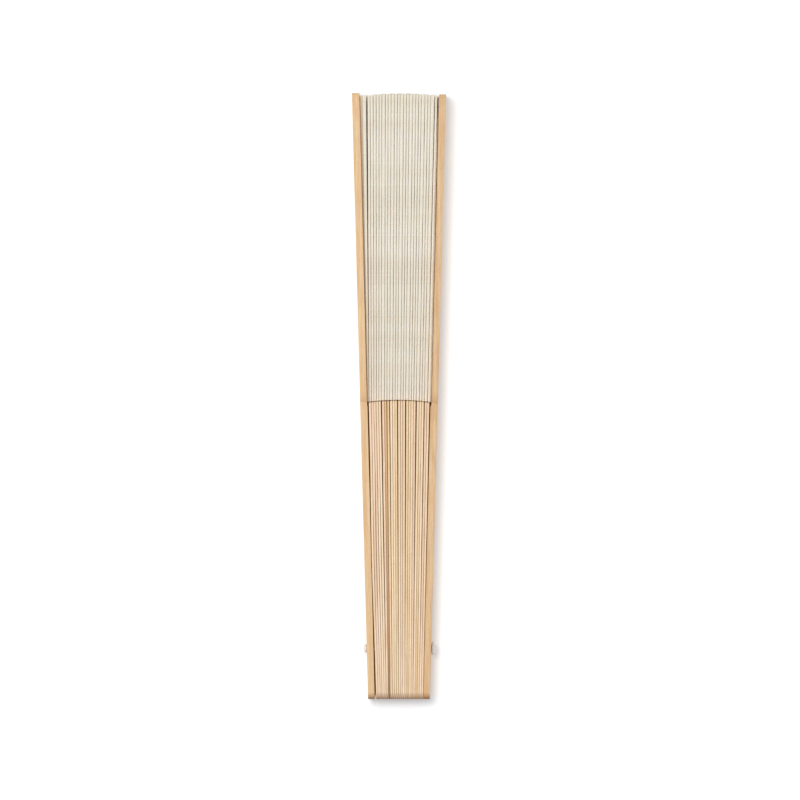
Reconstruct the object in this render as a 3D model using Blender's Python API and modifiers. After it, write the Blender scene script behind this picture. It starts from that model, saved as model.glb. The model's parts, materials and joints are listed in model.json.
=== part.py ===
"""A folding hand fan of bamboo with a pleated leaf, closed and lying on the long edges of its two guards.

Metres, +Z up. X runs through the stack of sticks along the rivet, Y runs from the tail to the tips,
and Z is the width of the sticks. Every stick turns on the rivet, so each object's origin is on that axis.
"Radius" below is the distance from the rivet's axis along a stick, and it is negative towards the tail.
"""

import math

import bmesh
import bpy

# Sticks: two guards outside, thin ribs between them
STICK_LENGTH = 0.230
TAIL_LENGTH = 0.019
RIB_COUNT = 23

# Guards, the stout outer sticks
GUARD_WIDTH_AT_TAIL = 0.0125
GUARD_WIDTH_AT_TIP = 0.0165
GUARD_THICKNESS_AT_TAIL = 0.0025
GUARD_THICKNESS_AT_TIP = 0.0030
GUARD_TAIL_CORNER = 0.0012
GUARD_TIP_CORNER = 0.0020
GUARD_EDGE_ROUND = 0.00035
LEFT_GUARD_RELIEF = 0.00015
RIGHT_GUARD_RELIEF = 0.0004
GUARD_RELIEF_RAMP = 0.0012
RIGHT_GUARD_SETBACK = 0.0005
RELIEF_TO_LEAF = 0.0005
GUARD_GAP_AT_TAIL = 0.00009
GUARD_GAP_AT_SHOULDER = 0.00030
GUARD_ROOM_AT_TIP = 0.00125

# Ribs: wide and bare near the hand, shaved down to a thin slip under the leaf
RIB_THICKNESS_AT_TAIL = 0.0007
RIB_THICKNESS_AT_SHOULDER = 0.0008
RIB_WIDTH_AT_TAIL = 0.0117
RIB_WIDTH_AT_SHOULDER = 0.0120
RIB_TAIL_CORNER = 0.0008
RIB_GAP_AT_TAIL = 0.000075
RIB_PLAY = 0.0001
SHOULDER_LENGTH = 0.0020
SHOULDER_TO_LEAF = 0.0012
RIB_SHAVE_LENGTH = 0.0010
SLIP_THICKNESS = 0.00035
SLIP_WIDTH_AT_SHOULDER = 0.0040
SLIP_WIDTH_AT_TIP = 0.0030
SLIP_TO_LEAF_END = 0.0023
SLIP_TIP_CORNER = 0.0007

# The ribs lie in bunches of one to five, with a wider gap between bunches. This is how far each rib is
# drawn to its bunch at its shoulder, from left to right, as a share of RIB_PLAY, and how much of that
# is left at the tips
RIB_SET_SHARES = (
    1.6, 1.0, 0.1, -0.9, -1.8,
    0.6, -0.5,
    -0.4,
    1.0, 0.1, -1.1,
    1.1, 0.0, -1.0,
    1.4, 0.6, -0.5, -1.5,
    0.9, 0.1, -0.9,
    0.5, -0.4,
)
SET_AT_TIP_SHARE = 0.3

# The first ribs spring out towards the left guard half way down: how far each one does, from the left,
# as a share of the first one's
RIB_BOW = 0.00035
RIB_BOW_SHARES = (1.0, 0.78, 0.55, 0.32, 0.12)
RIB_BOW_RADIUS = 0.034
RIB_BOW_REACH = 0.048

# The ribs lie against the right guard at the tail, which leaves a wedge of air beside the left one, and
# the wide first fold pushes them to the right at the tips
PACK_SHIFT_AT_TAIL = 0.000255
PACK_SHIFT_AT_TIP = 0.00112

# Leaf: one pleated sheet whose folds all point at the rivet
LEAF_INNER_RADIUS = 0.0944
LEAF_TO_TIP = 0.0002
LEAF_EDGE_DIP = 0.0008
PAPER_THICKNESS = 0.00015
GLUE_GAP = 0.00006
FOLD_GAP = 0.00008
FOLD_AIR_AT_SHOULDER = 0.000365
FOLD_AIR_AT_TIP = 0.000507
OPENING_PER_GAP = math.radians(7.45)
PLEAT_SLACK_SHARE = 1.06

# The section of one pleat: how high each point is, as a share of the pleat's half width, and how far
# across it is, as a share of the way from the crown's left side to the free panel
CROWN_HEIGHT_SHARES = (0.86, 0.95, 0.99, 0.99, 0.95, 0.86)
CROWN_ACROSS_SHARES = (0.0, 0.10, 0.34, 0.66, 0.90, 1.0)
CROWN_START_SHARE = 0.72

# Rivet: one plastic pin with a moulded head, flared by heat at its other end
PIN_RADIUS = 0.0014
PIN_CLEARANCE = 0.0001
HEAD_RADIUS = 0.0025
HEAD_HEIGHT = 0.0018
HEAD_RIM_HEIGHT = 0.0007
FLARE_RADIUS = 0.00165
FLARE_HEIGHT = 0.0010
FLARE_RIM_HEIGHT = 0.0006
SEAT_GAP = 0.0001

# Modelling allowances
CUT_OVERRUN = 0.001
WELD_DISTANCE = 0.000001
ARC_STEPS = 4
SHOULDER_STEPS = 6
BOW_STEPS = 8
DOME_STEPS = 5
ROUND_SIDES = 32
EDGE_ROUND_SEGMENTS = 2
ROUNDED_EDGE_ANGLE = math.radians(40)
SHARP_SHADING_ANGLE = math.radians(35)

# Colours as linear RGB, and how rough each surface is
GUARD_COLOUR = (0.72, 0.47, 0.23)
RIB_COLOUR = (0.80, 0.58, 0.36)
LEAF_COLOUR = (0.87, 0.80, 0.68)
RIVET_COLOUR = (0.72, 0.69, 0.62)
GUARD_ROUGHNESS = 0.5
RIB_ROUGHNESS = 0.6
LEAF_ROUGHNESS = 0.85
RIVET_ROUGHNESS = 0.3

# Worked out from the sizes above
STICK_COUNT = RIB_COUNT + 2
LAST_STICK = STICK_COUNT - 1
MIDDLE_STICK = LAST_STICK / 2
TIP_RADIUS = STICK_LENGTH - TAIL_LENGTH
LEAF_OUTER_RADIUS = TIP_RADIUS - LEAF_TO_TIP
SLIP_TIP_RADIUS = LEAF_OUTER_RADIUS - SLIP_TO_LEAF_END
SHOULDER_END_RADIUS = LEAF_INNER_RADIUS - SHOULDER_TO_LEAF
SHOULDER_START_RADIUS = SHOULDER_END_RADIUS - SHOULDER_LENGTH
GUARD_RELIEF_RADIUS = LEAF_INNER_RADIUS - LEAF_EDGE_DIP - RELIEF_TO_LEAF
HOLE_RADIUS = PIN_RADIUS + PIN_CLEARANCE
PANELS_PER_GAP = 2
FOLD_ANGLE = OPENING_PER_GAP / PANELS_PER_GAP / 2 * PLEAT_SLACK_SHARE
GUARD_TAPER = (GUARD_WIDTH_AT_TIP - GUARD_WIDTH_AT_TAIL) / (2 * STICK_LENGTH)


def between(start, end, share):
    return start + (end - start) * share


def along_stick(at_tail, at_tip, radius):
    """A size that runs evenly from the tail to the tip."""
    return between(at_tail, at_tip, (radius + TAIL_LENGTH) / STICK_LENGTH)


def guard_half_width(radius):
    return along_stick(GUARD_WIDTH_AT_TAIL, GUARD_WIDTH_AT_TIP, radius) / 2


def guard_thickness(radius):
    return along_stick(GUARD_THICKNESS_AT_TAIL, GUARD_THICKNESS_AT_TIP, radius)


# The pack is thin at the tail and swells with the paper's thickness, which makes the closed fan a wedge
PITCH_AT_TAIL = RIB_THICKNESS_AT_TAIL + RIB_GAP_AT_TAIL
PITCH_AT_SHOULDER = SLIP_THICKNESS + 2 * PAPER_THICKNESS + FOLD_AIR_AT_SHOULDER
PITCH_AT_TIP = SLIP_THICKNESS + 2 * PAPER_THICKNESS + FOLD_AIR_AT_TIP


def rib_set(stick):
    """How far a rib sits to one side of its even place in the pack."""
    if stick in (0, LAST_STICK):
        return 0.0
    return RIB_PLAY * RIB_SET_SHARES[(stick - 1) % len(RIB_SET_SHARES)]


def rib_bow(stick, radius):
    """How far a rib near the left guard bows out towards it."""
    reach = (radius - RIB_BOW_RADIUS) / RIB_BOW_REACH
    if not 1 <= stick <= len(RIB_BOW_SHARES) or abs(reach) >= 1:
        return 0.0
    return RIB_BOW * RIB_BOW_SHARES[stick - 1] * (1 + math.cos(math.pi * reach)) / 2


def bow_radii(stick):
    """Where a bowed rib takes its bends."""
    if stick > len(RIB_BOW_SHARES):
        return []
    start, end = RIB_BOW_RADIUS - RIB_BOW_REACH, RIB_BOW_RADIUS + RIB_BOW_REACH
    return [between(start, end, step / BOW_STEPS) for step in range(BOW_STEPS + 1)]


def stick_x(stick, radius):
    """Where the middle of a stick's thickness is: near straight to the shoulder, and straight under the leaf."""
    place = stick - MIDDLE_STICK
    at_tail = PACK_SHIFT_AT_TAIL + place * PITCH_AT_TAIL
    at_shoulder = place * PITCH_AT_SHOULDER + rib_set(stick)
    at_tip = PACK_SHIFT_AT_TIP + place * PITCH_AT_TIP + SET_AT_TIP_SHARE * rib_set(stick)
    if radius <= SHOULDER_END_RADIUS:
        share = (radius + TAIL_LENGTH) / (SHOULDER_END_RADIUS + TAIL_LENGTH)
        return between(at_tail, at_shoulder, share) - rib_bow(stick, radius)
    share = (radius - SHOULDER_END_RADIUS) / (TIP_RADIUS - SHOULDER_END_RADIUS)
    return between(at_shoulder, at_tip, share)


def guard_lean():
    """The guards' inner faces clear the last rib at its shoulder and the pleats at the tips."""
    last_rib = LAST_STICK - 1
    at_tail = stick_x(last_rib, -TAIL_LENGTH) + RIB_THICKNESS_AT_TAIL / 2 + GUARD_GAP_AT_TAIL
    beside_shoulder = stick_x(last_rib, SHOULDER_END_RADIUS) + RIB_THICKNESS_AT_SHOULDER / 2
    at_shoulder = beside_shoulder + GUARD_GAP_AT_SHOULDER
    tip = stick_x(last_rib, TIP_RADIUS) + SLIP_THICKNESS / 2
    at_tip = tip + GUARD_ROOM_AT_TIP - RIGHT_GUARD_RELIEF
    lean_to_shoulder = (at_shoulder - at_tail) / (SHOULDER_END_RADIUS + TAIL_LENGTH)
    lean_to_tip = (at_tip - at_tail) / STICK_LENGTH
    return at_tail, max(lean_to_shoulder, lean_to_tip)


GUARD_INNER_AT_TAIL, GUARD_LEAN = guard_lean()


def guard_inner(radius):
    """How far the guards' inner faces are from the middle, outside the relief under the leaf."""
    return GUARD_INNER_AT_TAIL + GUARD_LEAN * (radius + TAIL_LENGTH)


def guard_outer(radius):
    return guard_inner(radius) + guard_thickness(radius)


def rib_half_width(radius):
    """Half a rib's width: even to the shoulder, eased down to the slip, and tapered to the slip's tip."""
    if radius <= SHOULDER_START_RADIUS:
        share = (radius + TAIL_LENGTH) / (SHOULDER_START_RADIUS + TAIL_LENGTH)
        return between(RIB_WIDTH_AT_TAIL, RIB_WIDTH_AT_SHOULDER, share) / 2
    if radius <= SHOULDER_END_RADIUS:
        share = (radius - SHOULDER_START_RADIUS) / (SHOULDER_END_RADIUS - SHOULDER_START_RADIUS)
        eased = (1 - math.cos(math.pi * share)) / 2
        return between(RIB_WIDTH_AT_SHOULDER, SLIP_WIDTH_AT_SHOULDER, eased) / 2
    share = (radius - SHOULDER_END_RADIUS) / (SLIP_TIP_RADIUS - SHOULDER_END_RADIUS)
    return between(SLIP_WIDTH_AT_SHOULDER, SLIP_WIDTH_AT_TIP, share) / 2


def rib_half_thickness(radius):
    """Full thickness where the rib is bare, shaved down to the slip's at the end of the shoulder."""
    share = (radius + TAIL_LENGTH) / (SHOULDER_END_RADIUS + TAIL_LENGTH)
    bare = between(RIB_THICKNESS_AT_TAIL, RIB_THICKNESS_AT_SHOULDER, share)
    shaved = (radius - SHOULDER_END_RADIUS) / RIB_SHAVE_LENGTH + 1
    return between(bare, SLIP_THICKNESS, min(max(shaved, 0), 1)) / 2


def corner(radius, height, size, start_angle):
    """A quarter round of an outline that turns clockwise, from start_angle."""
    turns = [start_angle - math.pi / 2 * step / ARC_STEPS for step in range(ARC_STEPS + 1)]
    return [(radius + size * math.cos(turn), height + size * math.sin(turn)) for turn in turns]


def mirrored(upper):
    """A closed outline from its upper half, which runs from the tail to the tip."""
    return upper + [(radius, -height) for radius, height in reversed(upper)]


def guard_outline(setback):
    """The outline of a guard whose tip stands back from the longer one's."""
    tail = GUARD_TAIL_CORNER - TAIL_LENGTH
    tip = TIP_RADIUS - setback - GUARD_TIP_CORNER
    upper = corner(tail, guard_half_width(tail) - GUARD_TAIL_CORNER, GUARD_TAIL_CORNER, math.pi)
    upper += corner(tip, guard_half_width(tip) - GUARD_TIP_CORNER, GUARD_TIP_CORNER, math.pi / 2)
    return mirrored(upper)


def rib_outline():
    tail = RIB_TAIL_CORNER - TAIL_LENGTH
    tip = SLIP_TIP_RADIUS - SLIP_TIP_CORNER
    shoulder = [
        between(SHOULDER_START_RADIUS, SHOULDER_END_RADIUS, step / SHOULDER_STEPS)
        for step in range(SHOULDER_STEPS + 1)
    ]
    upper = corner(tail, rib_half_width(tail) - RIB_TAIL_CORNER, RIB_TAIL_CORNER, math.pi)
    upper += [(radius, rib_half_width(radius)) for radius in shoulder]
    upper += corner(tip, rib_half_width(tip) - SLIP_TIP_CORNER, SLIP_TIP_CORNER, math.pi / 2)
    return mirrored(upper)


def clear_scene():
    for old in list(bpy.data.objects):
        bpy.data.objects.remove(old, do_unlink=True)


def new_collection(name, hidden=False):
    made = bpy.data.collections.new(name)
    made.hide_render = hidden
    bpy.context.scene.collection.children.link(made)
    return made


def new_material(name, colour, roughness):
    made = bpy.data.materials.new(name)
    made.use_nodes = True
    shader = made.node_tree.nodes["Principled BSDF"]
    shader.inputs["Base Color"].default_value = (*colour, 1)
    shader.inputs["Roughness"].default_value = roughness
    shader.inputs["Metallic"].default_value = 0.0
    made.diffuse_color = (*colour, 1)
    return made


def new_object(name, mesh, collection, parent, material=None):
    made = bpy.data.objects.new(name, mesh)
    collection.objects.link(made)
    made.parent = parent
    if material:
        mesh.materials.clear()
        mesh.materials.append(material)
    return made


def flat_blank(name, outline, thickness):
    """A sheet cut to an outline of (radius, height) points, as a mesh with its thickness along X."""
    curve = bpy.data.curves.new(name, "CURVE")
    curve.dimensions = "2D"
    curve.fill_mode = "BOTH"
    curve.extrude = thickness / 2
    spline = curve.splines.new("POLY")
    spline.points.add(len(outline) - 1)
    for point, (radius, height) in zip(spline.points, outline):
        point.co = (radius, height, 0, 1)
    spline.use_cyclic_u = True
    drawn = bpy.data.objects.new(name, curve)
    bpy.context.scene.collection.objects.link(drawn)
    bpy.context.view_layer.update()
    graph = bpy.context.evaluated_depsgraph_get()
    mesh = bpy.data.meshes.new_from_object(drawn.evaluated_get(graph))
    mesh.name = name
    bpy.data.objects.remove(drawn)
    bpy.data.curves.remove(curve)
    shape = bmesh.new()
    shape.from_mesh(mesh)
    bmesh.ops.remove_doubles(shape, verts=shape.verts, dist=WELD_DISTANCE)
    for vertex in shape.verts:
        radius, height, depth = vertex.co
        vertex.co = (depth, radius, height)
    bmesh.ops.recalc_face_normals(shape, faces=shape.faces)
    shape.to_mesh(mesh)
    shape.free()
    return mesh


def set_faces(mesh, left, right, folds=()):
    """Moves a blank's two broad faces to left(radius) and right(radius), with a clean edge across at each fold."""
    shape = bmesh.new()
    shape.from_mesh(mesh)
    for radius in folds:
        everything = shape.verts[:] + shape.edges[:] + shape.faces[:]
        bmesh.ops.bisect_plane(
            shape, geom=everything, dist=WELD_DISTANCE, plane_co=(0, radius, 0), plane_no=(0, 1, 0)
        )
    for vertex in shape.verts:
        side = right if vertex.co.x > 0 else left
        vertex.co.x = side(vertex.co.y)
    shape.to_mesh(mesh)
    shape.free()


def shade_by_angle(mesh):
    mesh.shade_smooth()
    mesh.set_sharp_from_angle(angle=SHARP_SHADING_ANGLE)


def add_bevel(made, width):
    bevel = made.modifiers.new("rounded_edges", "BEVEL")
    bevel.width = width
    bevel.segments = EDGE_ROUND_SEGMENTS
    bevel.limit_method = "ANGLE"
    bevel.angle_limit = ROUNDED_EDGE_ANGLE


def add_cut(made, cutter):
    cut = made.modifiers.new("cut_" + cutter.name, "BOOLEAN")
    cut.operation = "DIFFERENCE"
    cut.solver = "EXACT"
    cut.object = cutter


def rivet_hole_cutter(collection, parent):
    """One drill runs through the whole pack along the rivet's axis."""
    shape = bmesh.new()
    bmesh.ops.create_cone(
        shape,
        cap_ends=True,
        segments=ROUND_SIDES,
        radius1=HOLE_RADIUS,
        radius2=HOLE_RADIUS,
        depth=2 * (guard_outer(HOLE_RADIUS) + CUT_OVERRUN),
    )
    mesh = bpy.data.meshes.new("rivet_hole")
    shape.to_mesh(mesh)
    shape.free()
    made = new_object("rivet_hole", mesh, collection, parent)
    made.rotation_euler = (0, math.pi / 2, 0)
    made.hide_render = True
    made.display_type = "WIRE"
    return made


def relief_share(radius):
    """A guard's inner face is shaved down a short ramp to where the leaf lies against it."""
    share = (radius - GUARD_RELIEF_RADIUS) / GUARD_RELIEF_RAMP + 1
    return min(max(share, 0), 1)


def make_guard(side, material, collection, parent, hole):
    """A guard is tapered in width and thickness, shaved where the leaf lies, rounded and drilled."""
    name = "guard_left" if side < 0 else "guard_right"
    setback, relief = (0.0, LEFT_GUARD_RELIEF) if side < 0 else (RIGHT_GUARD_SETBACK, RIGHT_GUARD_RELIEF)
    mesh = flat_blank(name, guard_outline(setback), GUARD_THICKNESS_AT_TAIL)

    def outside(radius):
        return side * guard_outer(radius)

    def inside(radius):
        return side * (guard_inner(radius) + relief * relief_share(radius))

    left, right = (outside, inside) if side < 0 else (inside, outside)
    set_faces(mesh, left, right, folds=(GUARD_RELIEF_RADIUS - GUARD_RELIEF_RAMP, GUARD_RELIEF_RADIUS))
    shade_by_angle(mesh)
    made = new_object(name, mesh, collection, parent, material)
    add_bevel(made, GUARD_EDGE_ROUND)
    add_cut(made, hole)
    return made


def make_rib(stick, material, collection, parent, hole):
    """A rib leans with its place in the pack, and its slip bends at the shoulder to follow the pleats."""
    name = f"rib_{stick:02d}"
    mesh = flat_blank(name, rib_outline(), RIB_THICKNESS_AT_TAIL)
    home = stick_x(stick, 0)

    def left(radius):
        return stick_x(stick, radius) - home - rib_half_thickness(radius)

    def right(radius):
        return stick_x(stick, radius) - home + rib_half_thickness(radius)

    shave_start = SHOULDER_END_RADIUS - RIB_SHAVE_LENGTH
    set_faces(mesh, left, right, folds=[*bow_radii(stick), shave_start, SHOULDER_END_RADIUS])
    shade_by_angle(mesh)
    made = new_object(name, mesh, collection, parent, material)
    made.location.x = home
    add_cut(made, hole)
    return made


def leaf_span(stick):
    """The leaf's inner and outer radius at a stick: both edges dip a little towards the guards."""
    dip = LEAF_EDGE_DIP * ((stick - MIDDLE_STICK) / MIDDLE_STICK) ** 2
    return LEAF_INNER_RADIUS - dip, LEAF_OUTER_RADIUS - dip


def glued_panel_x(stick, radius):
    """The middle of the paper that is glued to a stick: on a rib's right face, or inside a guard."""
    stand_off = GLUE_GAP + PAPER_THICKNESS / 2
    if stick == 0:
        return -guard_inner(radius) - LEFT_GUARD_RELIEF + stand_off
    if stick == LAST_STICK:
        return guard_inner(radius) + RIGHT_GUARD_RELIEF - stand_off
    return stick_x(stick, radius) + SLIP_THICKNESS / 2 + stand_off


def crown_left_x(stick, radius):
    """How far left a pleat's crown reaches: over its own slip, but not into the guard."""
    if stick == 0:
        return glued_panel_x(stick, radius)
    return stick_x(stick, radius) - SLIP_THICKNESS / 2 + PAPER_THICKNESS / 2


def free_panel_x(stick, radius):
    """The middle of a pleat's free panel, which hangs just clear of the next stick or its paper."""
    stand_off = FOLD_GAP + PAPER_THICKNESS / 2
    if stick + 1 == LAST_STICK:
        return glued_panel_x(LAST_STICK, radius) - PAPER_THICKNESS / 2 - stand_off
    return stick_x(stick + 1, radius) - SLIP_THICKNESS / 2 - stand_off


def pleat_section(stick, radius):
    """One pleat cut across at a radius, as (across, height) points: glued panel, crown, free panel."""
    half = radius * math.tan(FOLD_ANGLE)
    glued = glued_panel_x(stick, radius)
    left = crown_left_x(stick, radius)
    right = free_panel_x(stick, radius)
    points = [(glued, -half), (glued, half * CROWN_START_SHARE)]
    points += [
        (between(left, right, across), half * height)
        for across, height in zip(CROWN_ACROSS_SHARES, CROWN_HEIGHT_SHARES)
    ]
    points += [(right, half * CROWN_START_SHARE), (right, -half)]
    return points


def end_panel_section(radius):
    """The last panel is glued flat inside the right guard."""
    half = radius * math.tan(FOLD_ANGLE)
    glued = glued_panel_x(LAST_STICK, radius)
    return [(glued, -half), (glued, half)]


def folded_sheet(name, home, span, section):
    """Paper stretched between two sections, one at each end of its span, whose folds point at the rivet."""
    shape = bmesh.new()
    ends = [
        [shape.verts.new((across - home, radius, height)) for across, height in section(radius)]
        for radius in span
    ]
    edges = [shape.edges.new(pair) for end in ends for pair in zip(end, end[1:])]
    bmesh.ops.bridge_loops(shape, edges=edges)
    bmesh.ops.recalc_face_normals(shape, faces=shape.faces)
    mesh = bpy.data.meshes.new(name)
    shape.to_mesh(mesh)
    shape.free()
    return mesh


def add_paper_thickness(made):
    paper = made.modifiers.new("paper", "SOLIDIFY")
    paper.thickness = PAPER_THICKNESS
    paper.offset = 0.0
    paper.use_even_offset = True


def make_pleat(stick, material, collection, parent):
    name = f"leaf_pleat_{stick:02d}"
    home = 0.0 if stick == 0 else stick_x(stick, 0)
    span = leaf_span(stick)
    mesh = folded_sheet(name, home, span, lambda radius: pleat_section(stick, radius))
    shade_by_angle(mesh)
    made = new_object(name, mesh, collection, parent, material)
    made.location.x = home
    add_paper_thickness(made)
    return made


def make_end_panel(material, collection, parent):
    mesh = folded_sheet("leaf_end_panel", 0.0, leaf_span(LAST_STICK), end_panel_section)
    made = new_object("leaf_end_panel", mesh, collection, parent, material)
    add_paper_thickness(made)
    return made


def dome(radius, rim, top):
    """A shallow dome's outline from its middle to its rim, as (radius, height) points."""
    turns = [math.pi / 2 * step / DOME_STEPS for step in range(DOME_STEPS + 1)]
    return [(radius * math.sin(turn), rim + (top - rim) * math.cos(turn)) for turn in turns]


def rivet_profile():
    """The rivet's outer side from the head's top to the flare's end, as (radius, height) points."""
    head_seat = guard_outer(HEAD_RADIUS) + SEAT_GAP
    flare_seat = guard_outer(FLARE_RADIUS) + SEAT_GAP
    head = dome(HEAD_RADIUS, head_seat + HEAD_RIM_HEIGHT, head_seat + HEAD_HEIGHT)
    flare = dome(FLARE_RADIUS, flare_seat + FLARE_RIM_HEIGHT, flare_seat + FLARE_HEIGHT)
    points = head + [(HEAD_RADIUS, head_seat), (PIN_RADIUS, head_seat)]
    points += [(PIN_RADIUS, -flare_seat), (FLARE_RADIUS, -flare_seat)]
    return points + [(radius, -height) for radius, height in reversed(flare)]


def make_rivet(material, collection, parent):
    """The profile is turned about local Z, which is then laid along the pack."""
    shape = bmesh.new()
    profile = [shape.verts.new((radius, 0, height)) for radius, height in rivet_profile()]
    for pair in zip(profile, profile[1:]):
        shape.edges.new(pair)
    mesh = bpy.data.meshes.new("rivet")
    shape.to_mesh(mesh)
    shape.free()
    made = new_object("rivet", mesh, collection, parent, material)
    made.rotation_euler = (0, math.pi / 2, 0)
    turned = made.modifiers.new("turned", "SCREW")
    turned.axis = "Z"
    turned.steps = ROUND_SIDES
    turned.render_steps = ROUND_SIDES
    turned.use_merge_vertices = True
    turned.merge_threshold = WELD_DISTANCE
    turned.use_smooth_shade = True
    return made


def make_rivet_axis(collection):
    """An empty on the rivet's axis carries the fan, pitched so that the tapered guards' lower edges lie level."""
    pitch = math.atan(GUARD_TAPER)
    axis = bpy.data.objects.new("rivet_axis", None)
    collection.objects.link(axis)
    axis.location.y = TAIL_LENGTH - STICK_LENGTH / 2
    axis.location.z = guard_half_width(0) * math.cos(pitch)
    axis.rotation_euler.x = pitch
    return axis


def main():
    clear_scene()
    fan = new_collection("bamboo_hand_fan")
    cutters = new_collection("cutters", hidden=True)
    guard_bamboo = new_material("guard_bamboo", GUARD_COLOUR, GUARD_ROUGHNESS)
    rib_bamboo = new_material("rib_bamboo", RIB_COLOUR, RIB_ROUGHNESS)
    leaf_paper = new_material("leaf_paper", LEAF_COLOUR, LEAF_ROUGHNESS)
    rivet_plastic = new_material("rivet_plastic", RIVET_COLOUR, RIVET_ROUGHNESS)
    axis = make_rivet_axis(fan)
    hole = rivet_hole_cutter(cutters, axis)
    make_guard(-1, guard_bamboo, fan, axis, hole)
    make_guard(1, guard_bamboo, fan, axis, hole)
    for stick in range(1, LAST_STICK):
        make_rib(stick, rib_bamboo, fan, axis, hole)
    for stick in range(LAST_STICK):
        make_pleat(stick, leaf_paper, fan, axis)
    make_end_panel(leaf_paper, fan, axis)
    make_rivet(rivet_plastic, fan, axis)


main()
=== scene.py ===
"""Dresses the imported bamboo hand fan: split bamboo sticks, a pleated paper leaf and a nylon rivet.

The fan lies closed on the long edges of its two guards and is seen from straight above. X runs
through the stack of sticks, Y from the tail to the tips and Z is up, all in metres. A radius here is
the distance from the rivet's axis along a stick.
"""

import json
import logging
import math
from collections.abc import Callable, Mapping, Sequence
from dataclasses import dataclass
from enum import Enum
from functools import cached_property

import bpy
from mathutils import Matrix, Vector


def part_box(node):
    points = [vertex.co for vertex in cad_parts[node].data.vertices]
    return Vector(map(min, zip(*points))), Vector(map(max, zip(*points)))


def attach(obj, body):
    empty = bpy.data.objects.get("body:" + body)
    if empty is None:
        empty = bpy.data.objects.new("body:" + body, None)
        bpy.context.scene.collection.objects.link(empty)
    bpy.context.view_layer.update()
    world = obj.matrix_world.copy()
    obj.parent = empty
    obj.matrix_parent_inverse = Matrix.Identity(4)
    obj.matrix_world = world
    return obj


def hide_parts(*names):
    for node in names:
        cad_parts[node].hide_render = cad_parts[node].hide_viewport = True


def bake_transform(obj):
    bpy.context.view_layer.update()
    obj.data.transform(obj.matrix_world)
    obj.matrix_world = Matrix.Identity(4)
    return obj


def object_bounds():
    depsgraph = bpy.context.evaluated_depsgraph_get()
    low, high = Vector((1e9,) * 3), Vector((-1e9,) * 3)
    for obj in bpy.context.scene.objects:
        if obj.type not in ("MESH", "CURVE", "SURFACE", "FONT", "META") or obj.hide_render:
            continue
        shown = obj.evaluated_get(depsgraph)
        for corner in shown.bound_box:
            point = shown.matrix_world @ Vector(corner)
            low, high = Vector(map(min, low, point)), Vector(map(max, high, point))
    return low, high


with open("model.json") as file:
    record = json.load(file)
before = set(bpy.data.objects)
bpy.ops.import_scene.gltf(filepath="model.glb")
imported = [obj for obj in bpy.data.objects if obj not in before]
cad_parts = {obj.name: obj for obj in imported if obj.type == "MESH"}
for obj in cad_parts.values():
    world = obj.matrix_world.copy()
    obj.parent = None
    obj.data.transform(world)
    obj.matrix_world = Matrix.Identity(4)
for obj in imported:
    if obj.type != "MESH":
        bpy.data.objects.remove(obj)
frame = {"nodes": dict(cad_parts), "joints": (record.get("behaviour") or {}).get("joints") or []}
CAD_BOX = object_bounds()
MERGE_DISTANCE = 0.000001
MM_PER_M = 1000
REPORT = logging.getLogger("bamboo_hand_fan")

Colour = tuple[float, float, float, float]
Socket = bpy.types.NodeSocket
Point = tuple[float, float]
Place = tuple[float, float, float]
Row = tuple[float, list[Point]]
Input = bpy.types.Node | Socket | float | Sequence[float]


class Side(Enum):
    """The two sides of the stack, as the guards are named."""

    LEFT = "left"
    RIGHT = "right"


class RibTone(Enum):
    """How dark a split of bamboo was: each rib comes from its own place in the culm."""

    PALE = "pale"
    ROSY = "rosy"
    HONEY = "honey"
    BURNT = "burnt"


def srgb(code: str) -> Colour:
    """Turns a colour as a painter writes it into the linear one that a shader takes.

    Args:
        code: Six hex digits after a hash, in sRGB.

    Returns:
        The linear colour, opaque.
    """
    channels = [int(code[start:start + 2], 16) / 255 for start in (1, 3, 5)]
    linear = [c / 12.92 if c <= 0.04045 else ((c + 0.055) / 1.055) ** 2.4 for c in channels]
    return (*linear, 1.0)


def between(start: float, end: float, share: float) -> float:
    """Returns the value at a share of the way from start to end."""
    return start + (end - start) * share


def work_on(piece: bpy.types.Object) -> None:
    """Leaves one piece selected and active, so that the next operator acts on nothing else.

    Args:
        piece: The object to work on.
    """
    bpy.ops.object.select_all(action="DESELECT")
    piece.select_set(True)
    bpy.context.view_layer.objects.active = piece


def apply_modifiers(piece: bpy.types.Object) -> None:
    """Applies every modifier of a piece, from the top of its stack down.

    Args:
        piece: The object whose modifiers become part of its mesh.
    """
    work_on(piece)
    for name in [modifier.name for modifier in piece.modifiers]:
        bpy.ops.object.modifier_apply(modifier=name)


def settle(piece: bpy.types.Object, body: str, nodes: Sequence[str] = ()) -> None:
    """Hands a finished piece over to the frame.

    Args:
        piece: The finished object, with its place in its mesh.
        body: The body that it moves with.
        nodes: The CAD nodes that it stands for.
    """
    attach(piece, body)
    if nodes:
        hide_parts(*nodes)
    REPORT.info("%s rides on %s with %d faces", piece.name, body, len(piece.data.polygons))


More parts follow.
